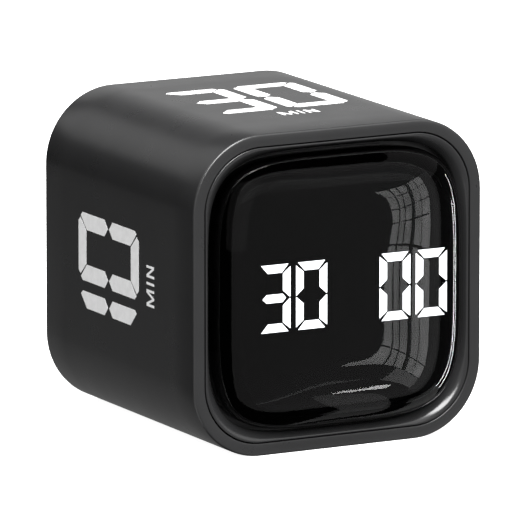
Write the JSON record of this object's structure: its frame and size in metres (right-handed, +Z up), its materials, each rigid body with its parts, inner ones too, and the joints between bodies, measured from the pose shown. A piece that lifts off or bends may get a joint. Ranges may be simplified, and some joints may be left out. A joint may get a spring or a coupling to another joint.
{
  "type": "kitchen timer",
  "caption": "Black cube kitchen timer with a lit four-digit display under a domed lens, preset numerals on its sides, and rear buttons, volume slider and hinged battery door.",
  "frame": {"origin": "centre of the housing's bottom side, where it rests", "axes": "+Z up, the display faces -Y, +X to the right of someone facing the display"},
  "size_m": [0.06, 0.0675, 0.06],
  "materials": {
    "matte_black_abs": "matte, very fine spark-eroded grain",
    "satin_black_abs": "satin",
    "black_foam": "matte foam",
    "clear_acrylic": "polished clear",
    "gloss_black_acrylic": "gloss",
    "lit_diffuser": "milky, lit white from behind",
    "white_plastic": "moulded",
    "circuit_board": "solder-masked fibreglass",
    "chip_black": "moulded resin",
    "cell_sleeve": "printed sleeve, satin",
    "nickel_plate": "nickel-plated spring steel",
    "zinc_steel": "zinc-plated",
    "ribbon_grey": "PVC insulation",
    "wire_red": "PVC insulation",
    "wire_black": "PVC insulation"
  },
  "bodies": {
    "case": {"housing": "matte_black_abs", "rear_cover": "matte_black_abs", "front_bezel": "satin_black_abs", "lens_gasket": "black_foam", "lens_dome": "clear_acrylic", "display_fascia": "gloss_black_acrylic", "digit_minutes_tens": "lit_diffuser", "digit_minutes_ones": "lit_diffuser", "digit_seconds_tens": "lit_diffuser", "digit_seconds_ones": "lit_diffuser", "segment_reflector": "white_plastic", "display_board": "circuit_board", "button_board": "circuit_board", "controller_chip": "chip_black", "led_driver_chip": "chip_black", "motion_sensor": "chip_black", "buzzer": "chip_black", "boost_inductor": "chip_black", "storage_capacitor": "chip_black", "display_socket": "white_plastic", "board_socket": "white_plastic", "cell_lower": "cell_sleeve", "cell_upper": "cell_sleeve", "contact_bridge": "nickel_plate", "positive_terminal": "nickel_plate", "negative_terminal": "nickel_plate", "spring_lower": "nickel_plate", "spring_upper": "nickel_plate", "slide_switch_body": "zinc_steel", "ribbon_cable": "ribbon_grey", "battery_lead_red": "wire_red", "battery_lead_black": "wire_black", "display_screw_1": "zinc_steel", "bezel_screw_1": "zinc_steel", "cover_screw_1": "zinc_steel", "display_screw_2": "zinc_steel", "bezel_screw_2": "zinc_steel", "cover_screw_2": "zinc_steel", "display_screw_3": "zinc_steel", "bezel_screw_3": "zinc_steel", "cover_screw_3": "zinc_steel", "display_screw_4": "zinc_steel", "bezel_screw_4": "zinc_steel", "cover_screw_4": "zinc_steel", "board_screw_1": "zinc_steel", "board_screw_2": "zinc_steel", "tact_switch_minutes": "chip_black", "tact_switch_start_stop": "chip_black", "tact_switch_seconds": "chip_black"},
    "button_minutes": {"button_minutes": "satin_black_abs", "tact_plunger_minutes": "white_plastic"},
    "button_start_stop": {"button_start_stop": "satin_black_abs", "tact_plunger_start_stop": "white_plastic"},
    "button_seconds": {"button_seconds": "satin_black_abs", "tact_plunger_seconds": "white_plastic"},
    "volume_slider": {"volume_knob": "satin_black_abs", "slide_switch_lever": "white_plastic"},
    "battery_door": {"battery_door": "matte_black_abs"}
  },
  "joints": [
    {"name": "button_minutes_press", "type": "slide", "parent": "case", "child": "button_minutes", "axis": [0, -1, 0], "range_m": [0, 0.0008], "stiffness_N_per_m": 1500},
    {"name": "button_start_stop_press", "type": "slide", "parent": "case", "child": "button_start_stop", "axis": [0, -1, 0], "range_m": [0, 0.0008], "stiffness_N_per_m": 1500},
    {"name": "button_seconds_press", "type": "slide", "parent": "case", "child": "button_seconds", "axis": [0, -1, 0], "range_m": [0, 0.0008], "stiffness_N_per_m": 1500},
    {"name": "volume_slide", "type": "slide", "parent": "case", "child": "volume_slider", "axis": [-1, 0, 0], "range_m": [-0.002, 0.002]},
    {"name": "battery_door_hinge", "type": "hinge", "parent": "case", "child": "battery_door", "pos_m": [0, 0.0281, 0.0137], "axis": [-1, 0, 0], "range_deg": [0, 100]}
  ]
}
